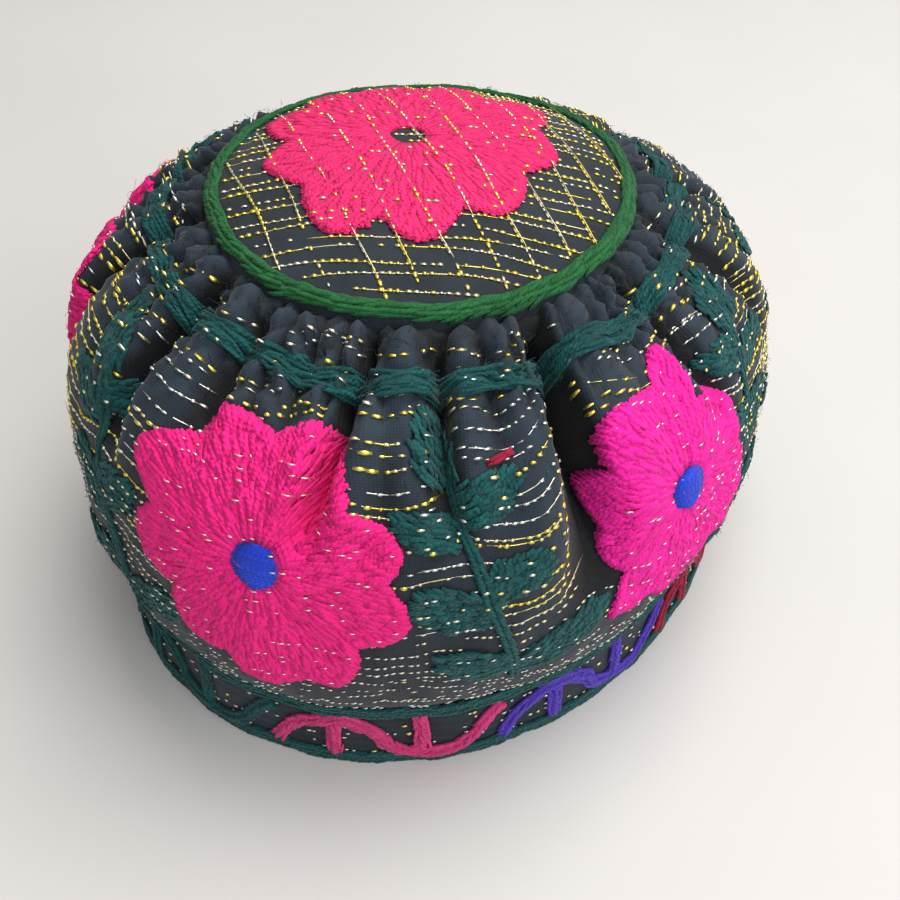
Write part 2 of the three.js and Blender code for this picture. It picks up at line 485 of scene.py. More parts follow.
def smooth_line(at, knots, values):
    """A smooth line through the values at the knots, read at any places."""
    knots = np.asarray(knots, float)
    values = np.asarray(values, float)
    slopes = np.gradient(values, knots, axis=0)
    cell = np.clip(np.searchsorted(knots, at, side="right") - 1, 0, len(knots) - 2)
    span = (knots[cell + 1] - knots[cell])[..., None]
    share = np.clip((at - knots[cell])[..., None] / span, 0, 1)
    rest = 1 - share
    ends = values[cell] * rest**2 * (1 + 2 * share) + values[cell + 1] * share**2 * (1 + 2 * rest)
    return ends + span * share * rest * (slopes[cell] * rest - slopes[cell + 1] * share)


def unit(vectors):
    return vectors / np.maximum(np.linalg.norm(vectors, axis=-1, keepdims=True), 1e-9)


def signed(turn, full):
    """A turn brought between minus and plus half a circle."""
    return (turn + full / 2) % full - full / 2


def hump(at, centre, width):
    return np.exp(-(((at - centre) / width) ** 2))


def ripple(waves, angle, run=0):
    """Sum of the waves at an angle round the cap and a run up it."""
    return sum(w.size * np.sin(w.turns * angle + w.climb * run + w.phase) for w in waves)


def place(angle, radius, height):
    """A point of the cap, in millimetres: the head oval and the lean of the crown."""
    reach = radius * (1 - OVAL * np.cos(2 * angle))
    x = reach * np.cos(angle)
    y = reach * np.sin(angle)
    share = np.clip(height / LEAN_FULL_HEIGHT, 0, 1) ** 2
    downhill = x * math.cos(LEAN_HEADING) + y * math.sin(LEAN_HEADING)
    back = x * math.cos(SAG_HEADING) + y * math.sin(SAG_HEADING)
    sag = SAG_DEPTH * np.clip(back / SAG_REACH, 0, 1) ** 2
    z = height - share * (LEAN_SLOPE * downhill + sag)
    shift = SHIFT * np.clip(height / SHIFT_FULL_HEIGHT, 0, 1)
    return np.stack([x + shift * math.cos(SHIFT_HEADING), y + shift * math.sin(SHIFT_HEADING), z], -1)


class Cloth:
    """A face of the cap that stitches are laid on, read in two coordinates of its own."""

    step = (0.004, 0.4)

    def at(self, first, second):
        """Points of the face, in millimetres."""
        return self.face(*np.broadcast_arrays(np.asarray(first, float), np.asarray(second, float)))

    def normal(self, first, second):
        across = self.at(first + self.step[0], second) - self.at(first - self.step[0], second)
        upward = self.at(first, second + self.step[1]) - self.at(first, second - self.step[1])
        return unit(np.cross(across, upward))


class WallCloth(Cloth):
    """The wall, by its angle round the cap and the run up the cloth from the lap, in millimetres."""

    stations = np.array(WALL_STATIONS)
    runs = np.concatenate([[0], np.cumsum(np.hypot(*np.diff(stations[:, :2], axis=0).T))])

    def __init__(self, pucker, pucker_share=1.0):
        self.pucker = pucker * pucker_share

    def run_at(self, height):
        rising = slice(RISING_STATIONS)
        return float(np.interp(height, self.stations[rising, 1], self.runs[rising]))

    def scale(self, angle, run):
        radius = smooth_line(run, self.runs, self.stations[:, :1])[..., 0]
        return np.stack([radius * (1 - OVAL * np.cos(2 * angle)), np.ones_like(run)], -1)

    def pleats(self, angle, height):
        """How far the deep folds push the cloth in and out, and how far one side of each laps over."""
        degrees = np.degrees(angle)
        top = WALL_STATIONS[-1].height
        push = np.zeros(np.broadcast(angle, height).shape)
        lap = np.zeros_like(push)
        for pleat in PLEATS:
            run = np.clip((top - height) / (top - pleat.foot), 0, 1)
            turn = signed(degrees - pleat.angle - pleat.swing * run, 360)
            across = np.abs(turn) / pleat.half_width
            fold = np.clip(1 - across, 0, 1) ** 1.5 * (1 + 0.9 * np.clip(across, 0, 1))
            depth = pleat.depth * (1 - run**2.5)
            push += depth * (SHOULDER_PUSH * hump(across, 1.25, 0.5) - FOLD_PUSH * fold)
            lap -= LAP_PUSH * depth * hump(turn / pleat.half_width, 0.8, 0.6)
        return push, lap

    def puckers(self, angle, run):
        """Rounded lumps with sharp grooves between them, uneven in width and height."""
        wave = np.abs(np.cos(PUCKERS / 2 * (angle + ripple(PUCKER_WANDER, angle)))) ** 0.7
        size = 1 + 0.28 * np.sin(17 * angle + 1) * np.sin(7 * angle)
        knot = 1 - 0.42 * np.cos(run * 0.95 + 2.6 * np.sin(31 * angle))
        crumple = np.sin(127 * angle + 2.5 * np.sin(9 * angle)) * np.sin(1.7 * run + 3 * np.sin(19 * angle))
        return self.pucker * (size * (wave * knot - 0.6) + 0.14 * crumple)

    def slack(self, angle, run):
        """Slow unevenness of hand-sewn padded cloth."""
        return ripple(WALL_SLACK, angle, run) * np.clip((run - 8) / 18, 0, 1)

    def folds(self, angle, run):
        """Push of the folds out of the plain form and their sideways lap, in millimetres."""
        height, pleat, pucker = np.moveaxis(smooth_line(run, self.runs, self.stations[:, 1:]), -1, 0)
        push, lap = self.pleats(angle, height)
        return pleat * push + pucker * self.puckers(angle, run), pleat * lap

    def shade(self, angle, run):
        """How deep a spot lies in a fold, from -0.3 on a crest to 1; the cloth's material paints it as
        shade, darker in folds and paler on crests.
        """
        return np.clip(-self.folds(angle, run)[0] / FULL_SHADE_DEPTH, -0.3, 1)

    def slump(self, angle, run):
        """How far the gathers at the back hang down."""
        behind = np.clip(np.cos(angle - SAG_HEADING) * 2 - 0.8, 0, 1)
        return SLUMP * behind * np.clip((run - SLUMP_START) / SLUMP_LENGTH, 0, 1)

    def face(self, angle, run):
        radius, height, _, pucker = np.moveaxis(smooth_line(run, self.runs, self.stations), -1, 0)
        ahead = smooth_line(run + 0.5, self.runs, self.stations[:, :2])
        behind = smooth_line(run - 0.5, self.runs, self.stations[:, :2])
        along = unit(ahead - behind)
        height = height - self.slump(angle, run)
        push, lap = self.folds(angle, run)
        push = push + self.slack(angle, run) * (1 - 0.8 * np.clip(pucker, 0, 1)) - WALL_INSET
        turned = angle + lap / radius
        return place(turned, radius + along[..., 1] * push, height - along[..., 0] * push)


class CrownCloth(Cloth):
    """The crown, by its plan position in millimetres."""

    step = (0.3, 0.3)
    rings = np.array(CROWN_RINGS)

    def scale(self, x, y):
        return np.ones(np.broadcast(x, y).shape + (2,))

    def face(self, x, y):
        angle = np.arctan2(y, x)
        radius = np.hypot(x, y) / (1 - OVAL * np.cos(2 * angle))
        height = smooth_line(radius, self.rings[:, 0], self.rings[:, 1:])[..., 0]
        dimple = 0.25 * np.sin(0.16 * x + 0.7) * np.sin(0.13 * y)
        beyond = np.maximum(radius - CROWN_RINGS[-1].radius, 0)
        return place(angle, radius, height + dimple - 1.5 * beyond)


class BandCloth(Cloth):
    """The outer face of the hem band, by its angle and height."""

    def scale(self, angle, height):
        reach = BAND_FOOT_RADIUS * (1 - OVAL * np.cos(2 * angle))
        return np.stack([reach, np.ones_like(reach)], -1)

    def face(self, angle, height):
        share = height / BAND_HEIGHT
        radius = BAND_FOOT_RADIUS + (BAND_TOP_RADIUS - BAND_FOOT_RADIUS) * share
        return place(angle, radius + ripple(BAND_UNEVEN, angle, height), height)


# Meshes

def deselect():
    bpy.ops.object.select_all(action="DESELECT")


def grid_piece(name, grid, shape, shade=None, dye=None):
    """A grid laid over a face of the cap: shape turns its shares across and up into millimetres.

    Shade gives the depth of each spot in a fold, which the cloth's material paints as shade in folds and
    light on crests, dye the colour of the stitches that cover it."""
    deselect()
    bpy.ops.mesh.primitive_grid_add(x_subdivisions=grid[0], y_subdivisions=grid[1], size=1)
    piece = bpy.context.object
    piece.name = name
    piece.data.name = name
    flat = np.empty(len(piece.data.vertices) * 3)
    piece.data.vertices.foreach_get("co", flat)
    shares = flat.reshape(-1, 3)[:, :2] + 0.5
    piece.data.vertices.foreach_set("co", (shape(shares[:, 0], shares[:, 1]) * MM).ravel())
    # Fold depth, kept for the painted shade and painted light of the cloth
    if shade:
        depth = piece.data.attributes.new("fold", "FLOAT", "POINT")
        depth.data.foreach_set("value", shade(shares[:, 0], shares[:, 1]))
    cover = piece.data.attributes.new("cover", "FLOAT_COLOR", "POINT")
    tone = dye(shares[:, 0], shares[:, 1]) if dye else np.zeros((len(shares), 4))
    cover.data.foreach_set("color", tone.ravel())
    bpy.ops.object.mode_set(mode="EDIT")
    bpy.ops.mesh.select_all(action="SELECT")
    bpy.ops.mesh.remove_doubles(threshold=1e-6)
    bpy.ops.object.mode_set(mode="OBJECT")
    bpy.ops.object.shade_smooth()
    return piece


def thicken(piece, thickness):
    """Gives a cloth face its thickness, towards the inside."""
    solidify = piece.modifiers.new("thickness", "SOLIDIFY")
    solidify.thickness = thickness
    solidify.offset = -1
    solidify.use_even_offset = False
    bpy.context.view_layer.objects.active = piece
    bpy.ops.object.modifier_apply(modifier=solidify.name)


Strands = namedtuple("Strands", "centre up width height tint")
SECTION_GROW = 1.3


def lay(cloth, tracks, lift, arch, width, height, tint):
    """Strands of thread along tracks on a cloth, lifted off it and arched between their ends."""
    first, second = tracks[..., 0], tracks[..., 1]
    up = cloth.normal(first, second)

    def per_point(value):
        return np.array(np.broadcast_to(np.reshape(value, (-1, 1)), first.shape), float)

    rise = per_point(lift) + arch * np.sin(math.pi * np.linspace(0, 1, first.shape[1]))
    centre = cloth.at(first, second) + up * rise[..., None]
    return Strands(centre, up, per_point(width), per_point(height), tint)


def sew(cloth, tracks, lift, arch, width, height, rng):
    """Strands along tracks, each in a shade of its own."""
    return lay(cloth, tracks, lift, arch, width, height, rng.uniform(0, 1, len(tracks)))


def picked(strands, keep):
    """The strands that are kept."""
    return Strands(*(part[keep] for part in strands))


def spaced(count, loose, rng):
    """Shares of a row for so many stitches, a little uneven."""
    return (np.arange(count) + rng.uniform(-loose, loose, count)) / count


def thread_piece(name, groups, sides, end_share):
    """All the strands of the groups as one mesh of tapered tubes with closed ends."""
    centre, up, width, height, tint = (np.concatenate(part) for part in zip(*groups))
    count, points = centre.shape[:2]
    along = unit(np.gradient(centre, axis=1))
    side = unit(np.cross(up, along))
    rise = np.cross(along, side)
    taper = np.ones(points)
    taper[[0, -1]] = end_share
    turn = (np.arange(sides) + 0.5) / sides * TURN
    reach = SECTION_GROW * taper / 2
    out = side[:, :, None] * (np.cos(turn) * (width * reach)[..., None])[..., None]
    out = out + rise[:, :, None] * (np.sin(turn) * (height * reach)[..., None])[..., None]
    corners = ((centre[:, :, None] + out) * MM).reshape(-1, 3)
    start = np.arange(count)[:, None, None] * points * sides + np.arange(points - 1)[:, None] * sides
    here = start + np.arange(sides)
    beside = start + (np.arange(sides) + 1) % sides
    tubes = np.stack([here, beside, beside + sides, here + sides], -1).reshape(-1, 4)
    foot = np.arange(count)[:, None] * points * sides + np.arange(sides)
    ends = np.concatenate([foot[:, ::-1], foot + (points - 1) * sides])
    mesh = bpy.data.meshes.new(name)
    mesh.vertices.add(len(corners))
    mesh.vertices.foreach_set("co", corners.ravel())
    loops = np.concatenate([tubes.ravel(), ends.ravel()])
    sizes = np.concatenate([np.full(len(tubes), 4), np.full(len(ends), sides)])
    mesh.loops.add(len(loops))
    mesh.loops.foreach_set("vertex_index", loops)
    mesh.polygons.add(len(sizes))
    mesh.polygons.foreach_set("loop_start", np.concatenate([[0], np.cumsum(sizes)[:-1]]))
    mesh.polygons.foreach_set("use_smooth", np.ones(len(sizes), bool))
    mesh.update(calc_edges=True)
    per_corner = points * sides
    mesh.attributes.new("tint", "FLOAT", "POINT").data.foreach_set("value", np.repeat(tint, per_corner))
    length = np.linalg.norm(np.diff(centre, axis=1), axis=-1)
    travel = np.concatenate([np.zeros((count, 1)), np.cumsum(length, axis=1)], axis=1)
    lengthwise = np.repeat(travel.ravel(), sides)
    around = np.tile(np.arange(sides) / sides, count * points)
    thread_map = np.stack([lengthwise, around], -1)[loops]
    mesh.uv_layers.new(name="thread").data.foreach_set("uv", thread_map.ravel())
    piece = bpy.data.objects.new(name, mesh)
    bpy.context.collection.objects.link(piece)
    return piece


def finish_piece(piece, material, slot, *nodes):
    """Gives a piece its material, hangs it on the root body and hides the CAD parts it stands for."""
    piece.data.materials.clear()
    piece.data.materials.append(material)
    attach(piece, "root")
    if nodes:
        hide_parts(*nodes)


def embroider(name, groups, material, slot, *nodes, sides=4, end_share=0.45):
    """Makes a piece of all the strands of the groups."""
    finish_piece(thread_piece(name, groups, sides, end_share), material, slot, *nodes)


# Stitches, as tracks in a cloth's own coordinates

def stem_line(cloth, path, rope, row, rng, points=4):
    """Slanting stitches that follow a path, beside each other like the turns of a rope."""
    middle = (path[1:] + path[:-1]) / 2
    steps = np.diff(path, axis=0) * cloth.scale(middle[:, 0], middle[:, 1])
    travel = np.concatenate([[0], np.cumsum(np.linalg.norm(steps, axis=1))])
    count = max(int(travel[-1] / (rope.stitch * rope.pitch)), 2)
    starts = spaced(count, ROPE_LOOSE, rng) * travel[-1]
    share = np.linspace(-0.5, 0.5, points)
    spots = starts[:, None] + share * rope.stitch * rng.uniform(*ROPE_STITCHES, (count, 1))
    spots = np.clip(spots + rope.stitch / 2, 0, travel[-1])

    def on_path(at):
        return np.stack([np.interp(at, travel, path[:, i]) for i in (0, 1)], -1)

    here = on_path(spots)
    scale = cloth.scale(here[..., 0], here[..., 1])
    along = unit((on_path(spots + 0.6) - on_path(spots - 0.6)) * scale)
    beside = np.stack([-along[..., 1], along[..., 0]], -1)
    sway = share * row.slant + row.offset + rng.uniform(-rope.loose, rope.loose, (count, 1))
    return here + beside * sway[..., None] / scale


def rope_rows(cloth, path, rope, rows, wool, rng, uneven=None):
    """Rows of rope stitches side by side, their lifts uneven between two limits where these are given."""
    groups = []
    for row in rows:
        tracks = stem_line(cloth, path, rope, row, rng)
        lift = row.lift + rng.uniform(*uneven, len(tracks)) if uneven else row.lift
        groups.append(sew(cloth, tracks, lift, rope.arch, wool, wool * rope.thick, rng))
    return groups


def smooth_path(points, count=40):
    """A dense smooth path through a few points."""
    points = np.asarray(points, float)
    knots = np.concatenate([[0], np.cumsum(np.linalg.norm(np.diff(points, axis=0), axis=1))])
    return smooth_line(np.linspace(0, knots[-1], count), knots, points)


def petal_reach(petals, headings, turn=0):
    """Reach of a flower's outline: round tips and sharp notches between them."""
    rows = sorted(
        [((p.heading + turn) % 360, p.reach) for p in petals]
        + [((p.notch_heading + turn) % 360, p.notch_reach) for p in petals])
    knots = np.array([rows[-1][0] - 360] + [r[0] for r in rows] + [rows[0][0] + 360])
    reach = np.array([rows[-1][1]] + [r[1] for r in rows] + [rows[0][1]])
    at = np.degrees(headings) % 360
    cell = np.clip(np.searchsorted(knots, at, side="right") - 1, 0, len(knots) - 2)
    share = (at - knots[cell]) / (knots[cell + 1] - knots[cell])
    rising = reach[cell + 1] > reach[cell]
    climb = np.where(rising, share, 1 - share)
    low = np.minimum(reach[cell], reach[cell + 1])
    high = np.maximum(reach[cell], reach[cell + 1])
    return low + (high - low) * (0.45 * climb + 0.55 * np.sin(climb * math.pi / 2))


def petal_stitches(outline, eye, floss, stitch, rng):
    """Overlapping rows of radial stitches from the eye out to the outline, right and up in millimetres."""
    tracks = []
    inner = eye - 0.5
    while inner < PETAL_LIMIT:
        count = int(TURN * (inner + stitch / 2) / (floss * FLOSS_PITCH))
        heading = spaced(count, PETAL_LOOSE, rng) * TURN
        edge = outline(heading) + rng.uniform(*PETAL_EDGE, count)
        start = inner + rng.uniform(-0.3, 0.3, count) * stitch * (inner > eye)
        stop = np.minimum(start + stitch * rng.uniform(*PETAL_STITCHES, count), edge)
        start = np.minimum(start, stop - 0.6 * stitch)
        keep = edge > inner - 0.2 * stitch
        share = np.linspace(0, 1, 3)
        reach = start[:, None] + (stop - start)[:, None] * share
        bend = heading[:, None] + rng.normal(0, 0.03, (count, 1)) * (share - 0.5)
        row = np.stack([reach * np.cos(bend), reach * np.sin(bend)], -1)
        tracks.append(row[keep])
        inner += stitch * PETAL_ROW_STEP
    return np.concatenate(tracks)


def eye_stitches(radius, floss, rng):
    """Satin stitches side by side across a round eye."""
    count = int(2 * radius / (floss * EYE_PITCH))
    across = np.linspace(-EYE_FILL, EYE_FILL, count) * radius
    half = np.sqrt(radius**2 - across**2) + rng.uniform(-0.3, 0.2, count)
    share = np.linspace(-1, 1, 4)
    return np.stack([half[:, None] * share, np.repeat(across[:, None], 4, 1)], -1)


def on_wall(wall, tracks, angle, height):
    """Tracks in millimetres right and up from a spot on the wall, as wall coordinates."""
    run = wall.run_at(height) + tracks[..., 1]
    reach = wall.scale(np.full(run.shape, math.radians(angle)), run)[..., 0]
    return np.stack([math.radians(angle) + tracks[..., 0] / reach, run], -1)


def leaf_half(leaf, along):
    """Half the width of a leaf at a share of its length."""
    return leaf.width / 2 * np.sin(math.pi * np.clip(along, 0, 1) ** 0.8) ** 0.5


def leaf_stitches(leaf, wool, rng):
    """Overlapping rows of short stitches along a leaf that fill it from its base to its tip."""
    base = np.array(leaf.base, float)
    axis = np.array(leaf.tip, float) - base
    length = np.linalg.norm(axis)
    axis = axis / length
    side = np.array([-axis[1], axis[0]])
    rows = np.arange(LEAF_MARGIN, length - LEAF_MARGIN, LEAF_PITCH)
    columns = np.arange(-leaf.width / 2, leaf.width / 2, wool * LEAF_COLUMNS)
    along, across = (part.ravel() for part in np.meshgrid(rows, columns))
    along = along + rng.uniform(-0.9, 0.9, len(along))
    across = across + rng.uniform(-0.3, 0.3, len(across))
    edge = leaf_half(leaf, along / length) + rng.uniform(*LEAF_EDGE, len(along))
    inside = np.abs(across) < edge
    along, across = along[inside], across[inside]
    slant = np.radians(rng.normal(0, LEAF_SLANT, len(along))) + across / leaf.width * 0.5
    share = np.linspace(-0.5, 0.5, 3)
    forward = along[:, None] + share * (LEAF_STITCH * np.cos(slant))[:, None]
    forward = np.clip(forward, -0.6, length + 0.8)
    sideways = across[:, None] + share * (LEAF_STITCH * np.sin(slant))[:, None]
    return base + forward[..., None] * axis + sideways[..., None] * side


def inside_petals(right, up, petals, turn, grow=0.0):
    return np.hypot(right, up) < petal_reach(petals, np.arctan2(up, right), turn) + grow


def from_middle(wall, angle, run, row):
    """How far right and up of the middle of a flower or spray the given spots of the wall lie."""
    right = signed(angle - math.radians(row.angle), TURN) * wall.scale(angle, run)[..., 0]
    return right, run - wall.run_at(row.height)


def flower_masks(wall, angle, run, grow=0.0):
    """Each wall flower with the spots of the wall that lie under it."""
    for row in WALL_FLOWERS:
        right, up = from_middle(wall, angle, run, row)
        yield row, inside_petals(right, up, row.petals, row.turn, grow)


def beside_flowers(wall, tracks):
    """The tracks that no flower covers."""
    middle = tracks[:, 1]
    covered = np.any([mask for _, mask in flower_masks(wall, middle[:, 0], middle[:, 1])], axis=0)
    return tracks[~covered]


def leaf_mask(wall, angle, run, share=1.0):
    """Which spots of the wall lie under the given share of a leaf's width."""
    covered = np.zeros(angle.shape, bool)
    for row in SPRAYS:
        right, up = from_middle(wall, angle, run, row)
        for leaf in SPRAY_LEAVES:
            axis = np.subtract(leaf.tip, leaf.base)
            length = np.hypot(*axis)
            x, y = right * row.flip - leaf.base[0], up - leaf.base[1]
            along = (x * axis[0] + y * axis[1]) / length**2
            across = np.abs(y * axis[0] - x * axis[1]) / length
            covered |= (along > 0) & (along < 1) & (across < leaf_half(leaf, along) * share)
    return covered


def gather_line(wall, angle):
    """Run of the ring that holds the gathers, which wavers round the cap."""
    return wall.run_at(GATHER_HEIGHT) + ripple(GATHER_UNEVEN, angle)


def wall_cover(wall, angle, run):
    """Which spots of the wall lie under a flower, and which under a leaf."""
    flower = np.any([mask for _, mask in flower_masks(wall, angle, run)], axis=0)
    return flower, leaf_mask(wall, angle, run)


# Materials

def toned(colour, share=1.0):
    """A paler or darker tone of a colour, opaque."""
    return (*(min(share * part, 1) for part in colour), 1)


def feed(tree, socket, value):
    """Gives an input a plain value, or the output of another node."""
    if isinstance(value, bpy.types.NodeSocket):
        tree.links.new(value, socket)
    else:
        socket.default_value = value


def fill(tree, target, **inputs):
    for name, value in inputs.items():
        feed(tree, target.inputs[name.replace("_", " ")], value)


def node(tree, kind, **inputs):
    made = tree.nodes.new(kind)
    fill(tree, made, **inputs)
    return made


def new_material(name):
    material = bpy.data.materials.new(name)
    material.use_nodes = True
    return material, material.node_tree, material.node_tree.nodes["Principled BSDF"]


def two_tone(tree, factor, dark, light):
    """A colour between two tones."""
    mix = tree.nodes.new("ShaderNodeMix")
    mix.data_type = "RGBA"
    fill(tree, mix, Factor=factor, A=dark, B=light)
    return mix.outputs["Result"]


def spread(tree, factor, low, high):
    """Spreads a factor between two limits over 0 to 1."""
    return node(tree, "ShaderNodeMapRange", Value=factor, From_Min=low, From_Max=high).outputs["Result"]


def combine(tree, operation, first, second):
    made = tree.nodes.new("ShaderNodeMath")
    made.operation = operation
    for socket, value in zip(made.inputs, (first, second)):
        feed(tree, socket, value)
    return made.outputs["Value"]


def weighted(tree, *parts):
    """The sum of some values, each times its weight."""
    total = 0
    for value, weight in parts:
        total = combine(tree, "ADD", total, combine(tree, "MULTIPLY", value, weight))
    return total


def attribute(tree, name, output="Fac"):
    reader = tree.nodes.new("ShaderNodeAttribute")
    reader.attribute_name = name
    return reader.outputs[output]


def speckle(tree, scale, detail, roughness=0.5):
    """Mottling of any size."""
    where = tree.nodes.new("ShaderNodeTexCoord").outputs["Object"]
    noise = node(
        tree, "ShaderNodeTexNoise", Vector=where, Scale=scale, Detail=detail, Roughness=roughness)
    return noise.outputs["Fac"]


def bands(tree, flat_map, stretch, direction, scale, distortion):
    """Parallel bands over the flat cloth or along the thread."""
    flat = tree.nodes.new("ShaderNodeUVMap")
    flat.uv_map = flat_map
    spots = node(tree, "ShaderNodeMapping", Vector=flat.outputs["UV"], Scale=stretch).outputs["Vector"]
    wave = node(
        tree, "ShaderNodeTexWave", Vector=spots, Scale=scale, Distortion=distortion, Detail=1.0)
    wave.bands_direction = direction
    return wave.outputs["Fac"]


def bump(tree, height, strength, distance):
    relief = node(tree, "ShaderNodeBump", Height=height, Strength=strength, Distance=distance)
    return relief.outputs["Normal"]


def ground_cloth(name, colour, weave_size):
    """Charcoal plain weave: fine threads, slubs, worn paler patches, painted shade in the folds and painted
    light on the crests.
    """
    material, tree, shader = new_material(name)
    threads = [bands(tree, "UVMap", (*weave_size, 1), way, 0.55, 0.6) for way in "XY"]
    weave = combine(tree, "MULTIPLY", *threads)
    worn = spread(tree, speckle(tree, 38.0, 5.0, 0.65), 0.34, 0.7)
    slubs = speckle(tree, 620.0, 4.0, 0.6)
    # Painted shade and light: the fold attribute darkens the cloth towards 0.14 of its colour in deep folds
    # and makes crests paler
    fold = attribute(tree, "fold")
    tone = weighted(
        tree, (worn, 0.55), (weave, 0.35), (spread(tree, slubs, 0.3, 0.7), 0.3), (fold, -1.4))
    bare = two_tone(tree, tone, toned(colour, 0.14), toned(colour, 2))
    dye = attribute(tree, "cover", "Color")
    fill(
        tree, shader,
        Base_Color=two_tone(tree, attribute(tree, "cover", "Alpha"), bare, dye),
        Roughness=spread(tree, slubs, -1.4, 1.3),
        Sheen_Weight=0.12,
        Sheen_Roughness=0.5,
        Specular_IOR_Level=0.25,
        Normal=bump(tree, weighted(tree, (weave, 1), (slubs, 0.8)), 0.3, 0.0003))
    return material


def thread(name, colour, deep=0.55, bright=1.3, sheen=0.1, gloss=0.2):
    """Stranded thread: each stitch has its own shade, fibres run along it and its plies twist."""
    material, tree, shader = new_material(name)
    fibres = speckle(tree, 1500.0, 3.0)
    plies = bands(tree, "thread", (0.55, 1.6, 1), "DIAGONAL", 0.9, 1.2)
    shade = weighted(tree, (attribute(tree, "tint"), 0.6), (fibres, 0.3), (plies, 0.16))
    fill(
        tree, shader,
        Base_Color=two_tone(tree, shade, toned(colour, deep), toned(colour, bright)),
        Roughness=spread(tree, fibres, -1.2, 1.2),
        Sheen_Weight=sheen,
        Sheen_Roughness=0.4,
        Specular_IOR_Level=gloss,
        Normal=bump(tree, weighted(tree, (plies, 1), (fibres, 0.7)), 0.5, 0.0003))
    return material


def metal_weft(name, gold, silver):
    """Flat metallic yarn that runs from silver to gold from dash to dash."""
    material, tree, shader = new_material(name)
    scratches = speckle(tree, 2200.0, 2.0)
    fill(
        tree, shader,
        Base_Color=two_tone(tree, attribute(tree, "tint"), toned(silver), toned(gold)),
        Roughness=spread(tree, scratches, -0.4, 1.6),
        Metallic=1.0,
        Normal=bump(tree, scratches, 0.3, 0.0001))
    return material


def plain_floor(name, colour):
    material, tree, shader = new_material(name)
    tone = two_tone(tree, speckle(tree, 9.0, 4.0), toned(colour, 0.96), toned(colour, 1.06))
    fill(tree, shader, Base_Color=tone, Roughness=0.8)
    return material


def workbasket(context, step=0):
    """The sizes in millimetres, the colours, and the chance that belongs to a step."""
    sizes = context.scene.skullcap_sizes
    lengths = {name: getattr(sizes, name) / MM for name in THREAD_SIZES}
    return lengths, context.scene.skullcap_colours, np.random.default_rng(SEED + step)


# Operators

class SKULLCAP_OT_stage(bpy.types.Operator):
    """Floor, soft studio light and the camera"""

    bl_idname = "skullcap.stage"
    bl_label = "Stage"

    def execute(self, context):
        deselect()
        bpy.ops.mesh.primitive_plane_add(size=FLOOR_SIZE)
        floor = context.object
        floor.name = "floor"
        floor.data.materials.append(plain_floor("floor_paint", context.scene.skullcap_colours.floor))
        floor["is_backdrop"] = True
        for lamp in LAMPS:
            self.light(lamp)
        world = bpy.data.worlds.new("studio")
        world.use_nodes = True
        sky = world.node_tree.nodes["Background"]
        fill(world.node_tree, sky, Color=SKY_COLOUR, Strength=SKY_STRENGTH)
        context.scene.world = world
        context.scene.view_settings.view_transform = "Standard"
        self.camera(context)
        return {"FINISHED"}

    def light(self, lamp):
        source = bpy.data.lights.new(lamp.name, "AREA")
        source.size = lamp.size
        source.energy = lamp.power
        source.color = lamp.colour
        holder = bpy.data.objects.new(lamp.name, source)
        bpy.context.collection.objects.link(holder)
        holder.location = lamp.where
        aim = Vector(LAMP_AIM) - Vector(lamp.where)
        holder.rotation_euler = aim.to_track_quat("-Z", "Y").to_euler()

    def camera(self, context):
        flat = CAMERA_DISTANCE * math.cos(CAMERA_ELEVATION)
        spot = Vector((
            flat * math.sin(CAMERA_AZIMUTH),
            -flat * math.cos(CAMERA_AZIMUTH),
            CAMERA_DISTANCE * math.sin(CAMERA_ELEVATION) + CAMERA_RISE)) * MM
        lens = bpy.data.cameras.new("camera")
        lens.lens = CAMERA_LENS
        lens.sensor_width = 36
        lens.clip_start = 0.01
        camera = bpy.data.objects.new("camera", lens)
        context.collection.objects.link(camera)
        turn = (Vector(CAMERA_AIM) * MM - spot).to_track_quat("-Z", "Y").to_matrix().to_4x4()
        camera.matrix_world = Matrix.Translation(spot) @ turn @ Matrix.Rotation(CAMERA_ROLL, 4, "Z")
        context.scene.camera = camera


class SKULLCAP_OT_crown(bpy.types.Operator):
    """Domed crown of padded cloth"""

    bl_idname = "skullcap.crown"
    bl_label = "Crown"

    def execute(self, context):
        sizes, colours, _ = workbasket(context)
        crown = CrownCloth()

        def shape(across, up):
            x, y = 2 * across - 1, 2 * up - 1
            round_x = x * np.sqrt(1 - y**2 / 2)
            round_y = y * np.sqrt(1 - x**2 / 2)
            angle = np.arctan2(round_y, round_x)
            share = np.hypot(round_x, round_y)
            share = share * (1.35 - 0.35 * share**2)
            radius = share * CROWN_RINGS[-1].radius * (1 - OVAL * np.cos(2 * angle))
            return crown.at(radius * np.cos(angle), radius * np.sin(angle))

        def dye(across, up):
            spots = shape(across, up)[:, :2] - crown.at(*CROWN_FLOWER_CENTRE)[:2]
            petal = inside_petals(spots[:, 0], spots[:, 1], CROWN_PETALS, 0, PETAL_MARGIN)
            petal &= np.hypot(*spots.T) > CROWN_EYE_RADIUS + 1
            return np.where(petal[:, None], toned(colours.coral, PETAL_DYE), (0, 0, 0, 0))

        piece = grid_piece("crown_cloth", CROWN_GRID, shape, dye=dye)
        thicken(piece, sizes["cloth"] * MM)
        ground = ground_cloth("crown_ground", colours.cloth, CROWN_WEAVE)
        finish_piece(piece, ground, "charcoal_cloth", "crown")
        return {"FINISHED"}


